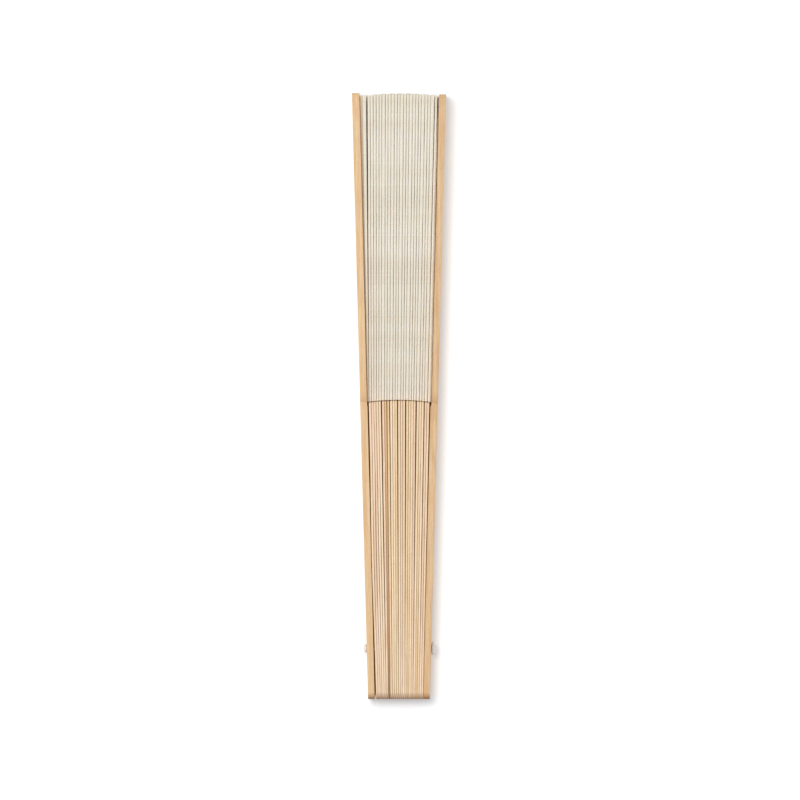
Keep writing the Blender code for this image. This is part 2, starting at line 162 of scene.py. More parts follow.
class NodeBoard:
    """The node tree of a material or of the world, laid out with one call for each node."""

    def __init__(self, owner: bpy.types.Material | bpy.types.World) -> None:
        """Starts a tree from the shader and the output that Blender puts there.

        Args:
            owner: What the tree belongs to.
        """
        owner.use_nodes = True
        self.owner = owner
        self.tree = owner.node_tree
        self.output = next(node for node in self.tree.nodes if node.type.startswith("OUTPUT"))
        self.shader = self.output.inputs["Surface"].links[0].from_node

    @cached_property
    def source(self) -> bpy.types.Node:
        """The node that gives the place and the facing of a point."""
        return self.add("TexCoord")

    def seen(self) -> bpy.types.Node:
        """Finds out whether the camera sees a point, straight or in something shiny or clear.

        Returns:
            A node that gives 1 where it does and 0 where the point only lights others.
        """
        rays = self.add("LightPath").outputs
        indirect = {0: rays["Is Glossy Ray"], 1: rays["Is Transmission Ray"]}
        mirrored = self.add("Math", indirect, operation="MAXIMUM")
        return self.add("Math", {0: rays["Is Camera Ray"], 1: mirrored}, operation="MAXIMUM")

    def add(
        self,
        kind: str,
        inputs: Mapping[str | int, Input] | None = None,
        stops: Sequence[tuple[float, str]] = (),
        **settings: str,
    ) -> bpy.types.Node:
        """Adds a node with its settings and links.

        Args:
            kind: The node's type, without the word that every shader node's type starts with.
            inputs: What feeds its inputs, by name or number.
            stops: Positions and hex colours from low to high, where the node is a colour ramp.
            settings: Properties of the node itself.

        Returns:
            The new node.
        """
        node = self.tree.nodes.new("ShaderNode" + kind)
        for name, value in settings.items():
            setattr(node, name, value)
        for position, _ in stops[2:]:
            node.color_ramp.elements.new(position)
        for number, (position, code) in enumerate(stops):
            node.color_ramp.elements[number].position = position
            node.color_ramp.elements[number].color = srgb(code)
        self.feed(node, inputs or {})
        return node

    def feed(self, node: bpy.types.Node, inputs: Mapping[str | int, Input]) -> None:
        """Links or sets a node's inputs.

        Args:
            node: The node to feed.
            inputs: A socket, a node whose first output counts, or a constant for each input.
        """
        for key, value in inputs.items():
            named = (socket for socket in node.inputs if socket.enabled and socket.name == key)
            target = node.inputs[key] if isinstance(key, int) else next(named)
            if isinstance(value, bpy.types.Node):
                value = next(socket for socket in value.outputs if socket.enabled)
            if isinstance(value, Socket):
                self.tree.links.new(value, target)
            else:
                target.default_value = value


@dataclass(frozen=True)
class Grain:
    """The real size of a pattern.

    Attributes:
        size: How long one grain is along each axis, in metres.
        detail: How many finer layers it carries.
        rough: How strong the finer layers are.
    """

    size: Place
    detail: float = 2.0
    rough: float = 0.55


def lay_grains(board: NodeBoard, place: Socket, grains: Mapping[str, Grain]) -> dict[str, bpy.types.Node]:
    """Lays a material's patterns over its surface, each at its real size.

    Args:
        board: The material's nodes.
        place: The coordinates that the patterns follow.
        grains: The patterns by name.

    Returns:
        For each name, a node whose value goes from 0 to 1.
    """
    laid = {}
    for name, grain in grains.items():
        steps = board.add("Mapping", {"Vector": place, "Scale": [1 / length for length in grain.size]})
        settings = {"Vector": steps, "Scale": 1.0, "Detail": grain.detail, "Roughness": grain.rough}
        laid[name] = board.add("TexNoise", settings)
    return laid


@dataclass(frozen=True)
class BambooFinish:
    """Split and scraped bamboo, without varnish.

    Its fibres run the whole stick as fine lines, broader streaks and patches come from the culm's layers,
    and cut vessels show as short dark pores. Scraping leaves a dull silk sheen, so highlights stay broad.

    Attributes:
        name: The material's name.
        dark: The colour of the dark fibres.
        body: The colour of most of the wood.
        pale: The colour of the pale fibres.
        side: The colour of the broad faces, partly their own tone and partly painted shade that makes the
            gaps between sticks glow brown.
        soil_and_shade: The colour of pores, of the darker tail end, and of the painted shade on the eased
            edges and above the shaving line.
        pores: How strongly the pores show.
        side_share: How much of the broad faces' colour shows.
        edge_shade_and_soil: How strongly the eased edges are darkened: painted shade where the sticks fall
            dark beside their gaps, with some handling dirt.
        stain: The colours of a scorched stick from its tail to the leaf, by share, or nothing.
        mark_y: Where the shaving line crosses the stick, or None.
        mark_slope: How far the line runs towards the tail for each unit to the right.
        mark_x: Where across the stack mark_y is measured.
    """

    name: str
    dark: str
    body: str
    pale: str
    side: str
    soil_and_shade: str = "#80501F"
    pores: float = 0.30
    side_share: float = 0.65
    edge_shade_and_soil: float = 0.45
    stain: Sequence[tuple[float, str]] = ()
    mark_y: float | None = None
    mark_slope: float = 0.0
    mark_x: float = 0.0

    # Real bamboo fibres are finer than a pixel, so the fibre grain is drawn about twice as wide.
    GRAINS = {
        "fibre": Grain((0.00016, 0.020, 0.00016), detail=5.0, rough=0.6),
        "streak": Grain((0.00110, 0.110, 0.00180), detail=3.0),
        "patch": Grain((0.0016, 0.0140, 0.0016), detail=1.0),
        "pore": Grain((0.00011, 0.0028, 0.00011)),
    }
    TONE_STOPS = (0.36, 0.50, 0.63)
    PATCHES = {"From Min": 0.52, "From Max": 0.70, "To Max": 0.45}
    PORES = {"From Min": 0.60, "From Max": 0.70}
    IOR = 1.50
    SPECULAR = 0.35
    ROUGHNESS = {"From Min": 0.3, "From Max": 0.7, "To Min": 0.62, "To Max": 0.48}
    FIBRE_DEPTH = 0.00003
    FIBRE_STRENGTH = 0.5
    # How far from the tail end the wood darkens towards it, and how strongly.
    TAIL_DARKENING = 0.0026
    TAIL_DARKENING_SHARE = 0.9
    STAIN_SHARE = 0.85
    MARK_WIDTH = 0.00018
    MARK_SHARE = 0.38
    SHADE_WIDTH = 0.0045
    SHADE_SHARE = 0.20

    # By how far a face looks along the stack: 0 on the narrow faces, 1 on the broad ones, between on edges.
    # The edges that these stops pick out are darkened with painted shade, with some handling dirt.
    EDGE_STOPS = ((0.15, "#000000"), (0.60, "#FFFFFF"), (0.97, "#000000"))
    BROAD = {"From Min": 0.85, "From Max": 0.99}

    def wood(self, board: NodeBoard, grain: Mapping[str, bpy.types.Node]) -> bpy.types.Node:
        """Lays the grain's colours.

        Args:
            board: The material's nodes.
            grain: The wood's patterns.

        Returns:
            The colour of bare wood.
        """
        both = board.add("Math", {0: grain["fibre"], 1: grain["streak"]}, operation="ADD")
        tone = board.add("Math", {0: both, 1: 0.5}, operation="MULTIPLY")
        stops = tuple(zip(self.TONE_STOPS, (self.dark, self.body, self.pale)))
        wood = board.add("ValToRGB", {"Fac": tone}, stops)
        patch = board.add("MapRange", {"Value": grain["patch"], **self.PATCHES})
        wood = board.add("Mix", {"Factor": patch, "A": wood, "B": srgb(self.dark)}, data_type="RGBA")
        pore = board.add("MapRange", {"Value": grain["pore"], **self.PORES, "To Max": self.pores})
        return board.add("Mix", {"Factor": pore, "A": wood, "B": srgb(self.soil_and_shade)}, data_type="RGBA")

    def age(self, board: NodeBoard, wood: bpy.types.Node, y: Socket) -> bpy.types.Node:
        """Darkens the wood towards the tail end, and adds the scorch where the stick has one.

        Args:
            board: The material's nodes.
            wood: The colour of bare wood.
            y: The place along the fan.

        Returns:
            The darkened colour.
        """
        tail = CAD_BOX[0].y
        end = {"Value": y, "From Min": tail, "From Max": tail + self.TAIL_DARKENING}
        darkened = board.add("MapRange", {**end, "To Min": self.TAIL_DARKENING_SHARE, "To Max": 0.0})
        if self.stain:
            along = board.add("MapRange", {"Value": y, "From Min": tail, "From Max": 0.0})
            scorch = board.add("ValToRGB", {"Fac": along}, self.stain)
            wood = board.add("Mix", {"Factor": self.STAIN_SHARE, "A": wood, "B": scorch}, data_type="RGBA")
        return board.add("Mix", {"Factor": darkened, "A": wood, "B": srgb(self.soil_and_shade)}, data_type="RGBA")

    def mark(self, board: NodeBoard, wood: bpy.types.Node, x: Socket, y: Socket) -> bpy.types.Node:
        """Adds the fine line where a guard was shaved for the leaf, and the shade above it.

        Args:
            board: The material's nodes.
            wood: The colour before.
            x: The place across the stack.
            y: The place along the fan.

        Returns:
            The marked colour.
        """
        slant = {0: x, 1: self.mark_slope, 2: -self.mark_x * self.mark_slope}
        run = board.add("Math", slant, operation="MULTIPLY_ADD")
        level = board.add("Math", {0: y, 1: run}, operation="ADD")
        above = board.add("Math", {0: level, 1: self.mark_y}, operation="SUBTRACT")
        fading = {"Value": above, "From Max": self.SHADE_WIDTH, "To Min": self.SHADE_SHARE, "To Max": 0.0}
        is_above = board.add("Math", {0: above, 1: 0.0}, operation="GREATER_THAN")
        shade = board.add("Math", {0: board.add("MapRange", fading), 1: is_above}, operation="MULTIPLY")
        shaded = board.add("Mix", {"Factor": shade, "A": wood, "B": srgb(self.soil_and_shade)}, data_type="RGBA")
        off = board.add("Math", {0: above}, operation="ABSOLUTE")
        drawn = {"Value": off, "From Max": self.MARK_WIDTH, "To Min": self.MARK_SHARE, "To Max": 0.0}
        line = board.add("MapRange", drawn)
        return board.add("Mix", {"Factor": line, "A": shaded, "B": srgb(self.soil_and_shade)}, data_type="RGBA")

    def material(self) -> bpy.types.Material:
        """Builds the material.

        Returns:
            The finished material.
        """
        board = NodeBoard(bpy.data.materials.new(self.name))
        place = board.source.outputs["Object"]
        grain = lay_grains(board, place, self.GRAINS)
        x, y, _ = board.add("SeparateXYZ", {"Vector": place}).outputs
        colour = self.age(board, self.wood(board, grain), y)
        if self.mark_y is not None:
            colour = self.mark(board, colour, x, y)
        facing = board.add("SeparateXYZ", {"Vector": board.source.outputs["Normal"]}).outputs["X"]
        across = board.add("Math", {0: facing}, operation="ABSOLUTE")
        # Painted shade: the eased edges between the narrow and the broad faces are darkened, as the sticks
        # fall dark beside their gaps, with some handling dirt.
        edge = board.add("ValToRGB", {"Fac": across}, self.EDGE_STOPS)
        darkened = board.add("Math", {0: edge, 1: self.edge_shade_and_soil}, operation="MULTIPLY")
        colour = board.add("Mix", {"Factor": darkened, "A": colour, "B": srgb(self.soil_and_shade)}, data_type="RGBA")
        # The broad faces take the side colour: partly their own tone, partly painted shade so that the gaps
        # between sticks read brown.
        broad = board.add("MapRange", {"Value": across, **self.BROAD, "To Max": self.side_share})
        mixed = {"Factor": broad, "A": colour, "B": srgb(self.side)}
        raised = {"Height": grain["fibre"], "Distance": self.FIBRE_DEPTH, "Strength": self.FIBRE_STRENGTH}
        board.feed(board.shader, {
            "Base Color": board.add("Mix", mixed, data_type="RGBA"),
            "Roughness": board.add("MapRange", {"Value": grain["fibre"], **self.ROUGHNESS}),
            "IOR": self.IOR,
            "Specular IOR Level": self.SPECULAR,
            "Normal": board.add("Bump", raised),
        })
        return board.owner


@dataclass(frozen=True)
class PaperFinish:
    """Uncoated cream fan paper, pressed from felted fibres and glued to the sticks.

    It is dead matt and lets a little light through, so its folds glow softly instead of turning grey. Faint
    clouds of thicker pulp show in it. Its inner edge is paler, partly its own tone and partly painted light
    that lifts the shade of the ribs' shoulders there, and it turns greyer towards its outer rim.

    Attributes:
        name: The material's name.
        inner: The leaf's inner radius, where its paler band of partly painted light starts.
        outer: The leaf's outer radius, towards which the paper turns greyer.
    """

    name: str
    inner: float
    outer: float

    PALE = "#FAF2E2"
    BODY = "#F5EBD9"
    CLOUD = "#ECE1CC"
    PALE_LIT_BAND = "#FFF4E4"
    RIM = "#DDD8CC"
    GRAINS = {
        "felt": Grain((0.00035, 0.0008, 0.00035), detail=4.0),
        "cloud": Grain((0.0030, 0.012, 0.0030)),
    }
    TONE_STOPS = (0.38, 0.50, 0.62)
    IOR = 1.47
    SPECULAR = 0.2
    ROUGHNESS = {"From Min": 0.3, "From Max": 0.7, "To Min": 0.92, "To Max": 0.80}
    FELT_DEPTH = 0.00002
    FELT_STRENGTH = 0.35
    GLOW_SHARE = 0.25
    GLOW_DEPTH = 0.0004
    GLOW_COLOUR = (1.0, 0.8, 0.55)
    PALE_LIT_BAND_WIDTH = 0.0034
    PALE_LIT_BAND_SHARE = 0.8
    RIM_WIDTH = 0.0011
    RIM_SHARE = 0.6

    def pulp(self, board: NodeBoard, grain: Mapping[str, bpy.types.Node]) -> bpy.types.Node:
        """Lays the paper's own colours.

        Args:
            board: The material's nodes.
            grain: The paper's patterns.

        Returns:
            The colour of clean paper.
        """
        both = board.add("Math", {0: grain["felt"], 1: grain["cloud"]}, operation="ADD")
        tone = board.add("Math", {0: both, 1: 0.5}, operation="MULTIPLY")
        stops = tuple(zip(self.TONE_STOPS, (self.CLOUD, self.BODY, self.PALE)))
        return board.add("ValToRGB", {"Fac": tone}, stops)

    def material(self) -> bpy.types.Material:
        """Builds the material, on the leaf's own UV map, which is in metres.

        Returns:
            The finished material.
        """
        board = NodeBoard(bpy.data.materials.new(self.name))
        place = board.source.outputs["UV"]
        grain = lay_grains(board, place, self.GRAINS)
        radius = board.add("SeparateXYZ", {"Vector": place}).outputs["Y"]
        # Painted light: the paper is paler along its inner edge, partly its own tone and partly to lift the
        # shade of the ribs' shoulders.
        glued = {"Value": radius, "From Min": self.inner, "From Max": self.inner + self.PALE_LIT_BAND_WIDTH}
        lit_band = board.add("MapRange", {**glued, "To Min": self.PALE_LIT_BAND_SHARE, "To Max": 0.0})
        # The paper turns greyer towards its outer rim.
        near_rim = {"Value": radius, "From Min": self.outer - self.RIM_WIDTH, "From Max": self.outer}
        rim = board.add("MapRange", {**near_rim, "To Max": self.RIM_SHARE})
        colour = self.pulp(board, grain)
        colour = board.add("Mix", {"Factor": lit_band, "A": colour, "B": srgb(self.PALE_LIT_BAND)}, data_type="RGBA")
        colour = board.add("Mix", {"Factor": rim, "A": colour, "B": srgb(self.RIM)}, data_type="RGBA")
        raised = {"Height": grain["felt"], "Distance": self.FELT_DEPTH, "Strength": self.FELT_STRENGTH}
        board.feed(board.shader, {
            "Base Color": colour,
            "Roughness": board.add("MapRange", {"Value": grain["felt"], **self.ROUGHNESS}),
            "IOR": self.IOR,
            "Specular IOR Level": self.SPECULAR,
            "Subsurface Weight": self.GLOW_SHARE,
            "Subsurface Radius": self.GLOW_COLOUR,
            "Subsurface Scale": self.GLOW_DEPTH,
            "Normal": board.add("Bump", raised),
        })
        return board.owner


@dataclass(frozen=True)
class NylonFinish:
    """Moulded natural nylon, unpigmented.

    It is milky, so light goes into it and blurs its edges, and it has the half gloss of a plain mould, with
    faint clouds inside and fine scuffs on its dome.

    Attributes:
        name: The material's name.
    """

    name: str

    CLEAR = "#F0ECE6"
    MILKY = "#DCD5CC"
    GRAINS = {
        "cloud": Grain((0.0009, 0.0009, 0.0009)),
        "scuff": Grain((0.00015, 0.0006, 0.00015), detail=3.0),
    }
    TONE_STOPS = (0.35, 0.65)
    IOR = 1.53
    ROUGHNESS = {"From Min": 0.35, "From Max": 0.7, "To Min": 0.22, "To Max": 0.45}
    SCUFF_DEPTH = 0.00001
    SCUFF_STRENGTH = 0.3
    GLOW_SHARE = 0.35
    GLOW_DEPTH = 0.0012
    GLOW_COLOUR = (1.0, 0.95, 0.9)

    def material(self) -> bpy.types.Material:
        """Builds the material.

        Returns:
            The finished material.
        """
        board = NodeBoard(bpy.data.materials.new(self.name))
        grain = lay_grains(board, board.source.outputs["Object"], self.GRAINS)
        stops = tuple(zip(self.TONE_STOPS, (self.MILKY, self.CLEAR)))
        raised = {"Height": grain["scuff"], "Distance": self.SCUFF_DEPTH, "Strength": self.SCUFF_STRENGTH}
        board.feed(board.shader, {
            "Base Color": board.add("ValToRGB", {"Fac": grain["cloud"]}, stops),
            "Roughness": board.add("MapRange", {"Value": grain["scuff"], **self.ROUGHNESS}),
            "IOR": self.IOR,
            "Subsurface Weight": self.GLOW_SHARE,
            "Subsurface Radius": self.GLOW_COLOUR,
            "Subsurface Scale": self.GLOW_DEPTH,
            "Normal": board.add("Bump", raised),
        })
        return board.owner


@dataclass(frozen=True)
class StickFrame:
    """The closed fan's own axes: every stick runs out from the rivet, pitched so that the edges lie level.

    Attributes:
        pivot: A point on the rivet's axis.
        tail_width: How wide a guard is at its tail, along Z.
        tip_width: How wide it is at its tip.
        length: How long it is.
    """

    pivot: Vector
    tail_width: float = 0.0125
    tip_width: float = 0.0165
    length: float = 0.230

    @property
    def pitch(self) -> float:
        """How far the sticks' middle line rises towards the tips, in radians."""
        return math.atan((self.tip_width - self.tail_width) / (2 * self.length))

    def place(self, across: float, radius: float, height: float) -> Place:
        """Turns a place on the sticks into a point of the row frame.

        Args:
            across: X, through the stack.
            radius: The distance from the rivet's axis along the sticks.
            height: The distance above the sticks' middle line.

        Returns:
            The point.
        """
        rise, run = math.sin(self.pitch), math.cos(self.pitch)
        y = self.pivot.y + radius * run - height * rise
        return across, y, self.pivot.z + radius * rise + height * run

    def radius_of(self, point: Vector) -> float:
        """Returns how far along the sticks a point of the row frame is."""
        out, up = point.y - self.pivot.y, point.z - self.pivot.z
        return out * math.cos(self.pitch) + up * math.sin(self.pitch)

    def faces(self, node: str, radius: float) -> Point:
        """Cuts a CAD node across at a radius.

        Args:
            node: The node's name.
            radius: Where it is cut.

        Returns:
            The lowest and highest X of the cut.
        """
        mesh = frame["nodes"][node].data
        found = []
        for edge in mesh.edges:
            first, second = (mesh.vertices[index].co for index in edge.vertices)
            start, end = self.radius_of(first) - radius, self.radius_of(second) - radius
            if start * end <= 0 and start != end:
                found.append(between(first.x, second.x, start / (start - end)))
        return min(found), max(found)


class BambooPiece:
    """A bamboo stick from its CAD solid, with its doubles merged, its faces clean and its edges eased."""

    FLAT_ANGLE = math.radians(0.05)
    SHARP_ANGLE = math.radians(40)
    SMOOTH_ANGLE = math.radians(50)
    EDGE_SEGMENTS = 2

    def __init__(self, node: str) -> None:
        """Copies the solid, merges its loose triangles and joins those that lie in one plane.

        Args:
            node: The CAD node to start from.
        """
        self.node = node
        self.piece = bpy.data.objects.new(node + "_bamboo", frame["nodes"][node].data.copy())
        bpy.context.scene.collection.objects.link(self.piece)
        work_on(self.piece)
        bpy.ops.object.mode_set(mode="EDIT")
        bpy.ops.mesh.select_all(action="SELECT")
        bpy.ops.mesh.remove_doubles(threshold=MERGE_DISTANCE)
        bpy.ops.mesh.dissolve_limited(angle_limit=self.FLAT_ANGLE)
        bpy.ops.object.mode_set(mode="OBJECT")

    def ease(self, edge: float) -> None:
        """Rounds the sharp edges and keeps the broad faces flat in the light.

        Args:
            edge: The round's width, or zero where the solid has round edges already.
        """
        if edge:
            bevel = self.piece.modifiers.new("eased_edges", "BEVEL")
            bevel.width = edge
            bevel.segments = self.EDGE_SEGMENTS
            bevel.limit_method = "ANGLE"
            bevel.angle_limit = self.SHARP_ANGLE
        work_on(self.piece)
        bpy.ops.object.shade_smooth_by_angle(angle=self.SMOOTH_ANGLE)
        weighted = self.piece.modifiers.new("flat_faces", "WEIGHTED_NORMAL")
        weighted.keep_sharp = True
        apply_modifiers(self.piece)

    def dress(self, material: bpy.types.Material) -> None:
        """Gives the stick its wood.

        Args:
            material: The bamboo's material.
        """
        self.piece.data.materials.clear()
        self.piece.data.materials.append(material)


@dataclass
class Guard:
    """One of the two stout outer sticks, with the culm's skin left on its outer face.

    Attributes:
        side: Which side of the stack it closes.
    """

    side: Side

    # The right guard's colours are a step darker than the left's: painted shade, as if the lamp at the left
    # lit the right guard less.
    FINISHES = {
        Side.LEFT: BambooFinish(
            "guard_bamboo_left", "#DDAE7A", "#E6C092", "#F0D1A5", "#DDB780", edge_shade_and_soil=0.08,
            mark_y=-0.0020, mark_slope=0.08, mark_x=-0.0137,
        ),
        Side.RIGHT: BambooFinish(
            "guard_bamboo_right_shaded", "#D0A170", "#DEB789", "#E9C89C", "#D8AE76", edge_shade_and_soil=0.08,
            mark_y=-0.0024, mark_slope=0.55, mark_x=0.0134,
        ),
    }

    def build(self) -> None:
        """Builds and dresses the guard."""
        node = "guard_" + self.side.value
        stick = BambooPiece(node)
        stick.ease(edge=0.0)
        stick.dress(self.FINISHES[self.side].material())
        settle(stick.piece, node, [node])


@dataclass
class RibPack:
    """The thin inner sticks, each split from its own place in the culm.

    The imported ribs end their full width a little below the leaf. Here each shoulder is carried up to the
    leaf's own edge, which arches from guard to guard.

    Attributes:
        sticks: The fan's own axes.
        leaf: The leaf, whose edge the shoulders meet.
        edge: How much the ribs' edges are eased by sanding.
        shoulder: Where a packed rib's shoulder starts and ends, as radii.
        shoulder_length: How long the shoulder is here.
        leaf_gap: The air between the shoulder and the leaf's edge.
        straight: Two radii on the straight stretch just below the shoulder.
    """

    sticks: StickFrame
    leaf: "PleatedLeaf"
    edge: float = 0.00012
    shoulder: Point = (0.0912, 0.0932)
    shoulder_length: float = 0.0004
    leaf_gap: float = 0.00008
    straight: Point = (0.0860, 0.0900)

    TONES = {
        RibTone.PALE: BambooFinish("split_bamboo_pale", "#EAC99E", "#F9DCB6", "#FFEBCE", "#DAA566"),
        RibTone.ROSY: BambooFinish("split_bamboo_rosy", "#E3BE9A", "#F6D3B4", "#FFE5CC", "#DAA566"),
        RibTone.HONEY: BambooFinish("split_bamboo_honey", "#DEB882", "#F1CEA0", "#FAE0B8", "#D59F60"),
        RibTone.BURNT: BambooFinish(
            "split_bamboo_burnt", "#E0BA8A", "#F2D1A6", "#FCE4C0", "#D59F60",
            stain=(
                (0.0, "#84583A"), (0.25, "#B08252"), (0.60, "#C69864"), (0.85, "#DAAE74"), (1.0, "#DCB280"),
            ),
        ),
    }

    # Ribs are counted from the left. Those that aren't listed are pale.
    RIBS_OF_TONE = {
        RibTone.ROSY: (2, 3, 6, 13, 18, 22),
        RibTone.HONEY: (8, 11, 15, 16, 20),
        RibTone.BURNT: (7,),
    }
    SHARE_MARGIN = 0.01

    def tone(self, rib: int) -> RibTone:
        """Returns the tone of a rib, counted from the left."""
        return next((tone for tone, ribs in self.RIBS_OF_TONE.items() if rib in ribs), RibTone.PALE)

    def carry_shoulder(self, stick: BambooPiece, rib: int) -> None:
        """Moves a rib's shoulder up to the leaf's edge.

        Args:
            stick: The rib's piece, before its edges are eased.
            rib: Its number, counted from the left.
        """
        (first, _), (second, _) = (self.sticks.faces(stick.node, radius) for radius in self.straight)
        lean = (second - first) / (self.straight[1] - self.straight[0])
        end = self.leaf.span(rib)[0] - self.leaf_gap
        for vertex in stick.piece.data.vertices:
            radius = self.sticks.radius_of(vertex.co)
            share = (radius - self.shoulder[0]) / (self.shoulder[1] - self.shoulder[0])
            if -self.SHARE_MARGIN < share < 1 + self.SHARE_MARGIN:
                run = between(end - self.shoulder_length, end, share) - radius
                step = Vector(self.sticks.place(lean * run, run, 0.0)) - self.sticks.pivot
                vertex.co += step

    def build(self) -> None:
        """Builds and dresses every rib."""
        woods = {tone: finish.material() for tone, finish in self.TONES.items()}
        for rib in range(1, self.leaf.ribs + 1):
            node = f"rib_{rib:02d}"
            stick = BambooPiece(node)
            self.carry_shoulder(stick, rib)
            stick.ease(self.edge)
            stick.dress(woods[self.tone(rib)])
            settle(stick.piece, node, [node])


@dataclass
class PleatedLeaf:
    """The paper leaf, one pleat for each gap between sticks and a last panel inside the right guard.

    A pleat starts at the back fold behind its own stick, runs up the panel that is glued there, turns
    over the front fold and comes down its free panel to the back fold at the next stick. The free panel
    is what bends as the fan opens.

    Attributes:
        sticks: The fan's own axes.
        ribs: How many ribs there are.
        opening: How far each stick opens from its neighbour, in radians.
        inner: The leaf's inner radius at its middle.
        outer: The leaf's outer radius at its middle.
        dip: How far both edges dip towards the guards.
        paper: The paper's thickness.
        glue: The gap between the paper and the stick that it is glued to.
        clearance: The least air beside a free panel.
        slot: The air between two front folds.
        turn_depth: How far below its top a front fold's round starts.
        bend_depth: How far below its top a glued panel bends away, at the leaf's inner and outer edge.
        panel_top: How far below the front folds the end panel stops, inside and at its tip.
    """

    sticks: StickFrame
    ribs: int
    opening: float
    inner: float = 0.0946
    outer: float = 0.2108
    dip: float = 0.0008
    paper: float = 0.00013
    glue: float = 0.00006
    clearance: float = 0.00003
    slot: float = 0.00010
    turn_depth: float = 0.00045
    bend_depth: Point = (0.00105, 0.00105)
    panel_top: Point = (0.00030, 0.0024)

    # The folds are higher than the open fan needs, and a free panel bends over most of its lean.
    SLACK_SHARE = 1.06
    PLANE_SHARE = 0.94

    # Where a free panel hangs between its two sticks, at the leaf's inner and outer edge.
    MIDDLE_SHARES = (0.5, 0.5)
    FREE_PANEL_SHARES = {0: (0.74, 0.78), 22: (0.55, 0.74), 23: (0.74, 0.50)}

    # The first and the last pleat are folded less evenly: a wider crown, later bends and wider slots.
    FIRST_CROWN_INSET = (0.00003, 0.00105)
    FIRST_BEND_DEPTH = (0.00070, 0.0025)
    EXTRA_SLOTS = {1: (0.0, 0.00042), 23: (0.0, 0.00012)}

    # Where between the bend and the front fold a glued panel has its last point, across and up.
    EVEN_RISE_SHARES = (0.5, 0.55)
    RISE_SHARES = {0: (0.88, 0.12)}

    # The end panel's top curls off the guard, and its tip is cut to a wedge.
    PANEL_CURL = (0.00014, 0.00042)
    PANEL_CURL_SHARE = 0.2
    WEDGE_LENGTH = 0.019

    # How uneven hand folding leaves the outer edge, the folds' sides and their tops.
    UNEVEN = 0.00012
    UNEVEN_TURN = 2.3
    WAVE = 0.00003
    WAVE_LENGTHS = (0.046, 0.019)
    WAVE_SHARES = (0.65, 0.35)
    WAVE_TURNS = (1.9, 2.7)
    SAG_SHARE = 0.012
    SAG_SHIFT = 7

    # Where the sticks are measured, and how finely the paper is drawn.
    CUT_SHARES = (0.05, 0.95)
    CREASE_ANGLE = math.radians(60)
    ROWS = 44
    GLUED_STEPS = 4
    TURN_STEPS = 10
    FREE_STEPS = 14
    BACK_STEPS = 6

    def wave(self, stick: int, radius: float) -> float:
        """Returns how unevenly a pleat was folded at a radius, from about -1 to 1."""
        height = 0.0
        for share, length, turn in zip(self.WAVE_SHARES, self.WAVE_LENGTHS, self.WAVE_TURNS):
            height += share * math.sin(2 * math.pi * radius / length + turn * stick ** 2)
        return height

    def half_height(self, radius: float) -> float:
        """Returns how far the folds stand above and below the sticks' middle line at a radius."""
        return radius * math.tan(self.opening / 4 * self.SLACK_SHARE)

    def span(self, stick: float) -> Point:
        """Returns the leaf's inner and outer radius at a stick, or at a share between two."""
        last = self.ribs + 1
        dip = self.dip * ((stick - last / 2) / (last / 2)) ** 2
        return self.inner - dip, self.outer - dip + self.UNEVEN * math.sin(self.UNEVEN_TURN * stick)

    def line(self, values: Point, radius: float) -> float:
        """Returns a size at a radius, from its values at the leaf's two edges."""
        return between(*values, (radius - self.inner) / (self.outer - self.inner))

    def node_of(self, stick: int) -> str:
        """Returns the name of a stick's CAD node and body."""
        return {0: "guard_left", self.ribs + 1: "guard_right"}.get(stick, f"rib_{stick:02d}")

    def stick_faces(self, stick: int) -> tuple[Point, Point]:
        """Measures a stick under the leaf.

        Args:
            stick: The stick's number, 0 for the left guard.

        Returns:
            X of its left face and of its right face, each at the leaf's inner and outer edge.
        """
        near, far = (between(self.inner, self.outer, share) for share in self.CUT_SHARES)
        cuts = (self.sticks.faces(self.node_of(stick), radius) for radius in (near, far))
        sides = []
        for near_x, far_x in zip(*cuts):
            slope = (far_x - near_x) / (far - near)
            start = near_x - slope * (near - self.inner)
            sides.append((start, start + slope * (self.outer - self.inner)))
        return sides[0], sides[1]

    def glued(self, stick: int) -> Point:
        """Returns X of the paper glued to a stick, at the leaf's inner and outer edge."""
        stand_off = self.glue + self.paper / 2
        left, right = self.stick_faces(stick)
        if stick > self.ribs:
            return left[0] - stand_off, left[1] - stand_off
        return right[0] + stand_off, right[1] + stand_off

    def free(self, stick: int) -> tuple[Point, float]:
        """Finds where a pleat's free panel hangs.

        Args:
            stick: The pleat's own stick.

        Returns:
            X of its middle at the leaf's inner and outer edge, and how far it leans to each side.
        """
        start = [x + self.paper / 2 for x in self.glued(stick)]
        if stick == self.ribs:
            end = [x - self.paper / 2 for x in self.glued(stick + 1)]
        else:
            end = list(self.stick_faces(stick + 1)[0])
        shares = self.FREE_PANEL_SHARES.get(stick, self.MIDDLE_SHARES)
        middle = [between(low, high, share) for low, high, share in zip(start, end, shares)]
        room = min(min(at - low, high - at) for low, at, high in zip(start, middle, end))
        return (middle[0], middle[1]), room - self.paper / 2 - self.clearance

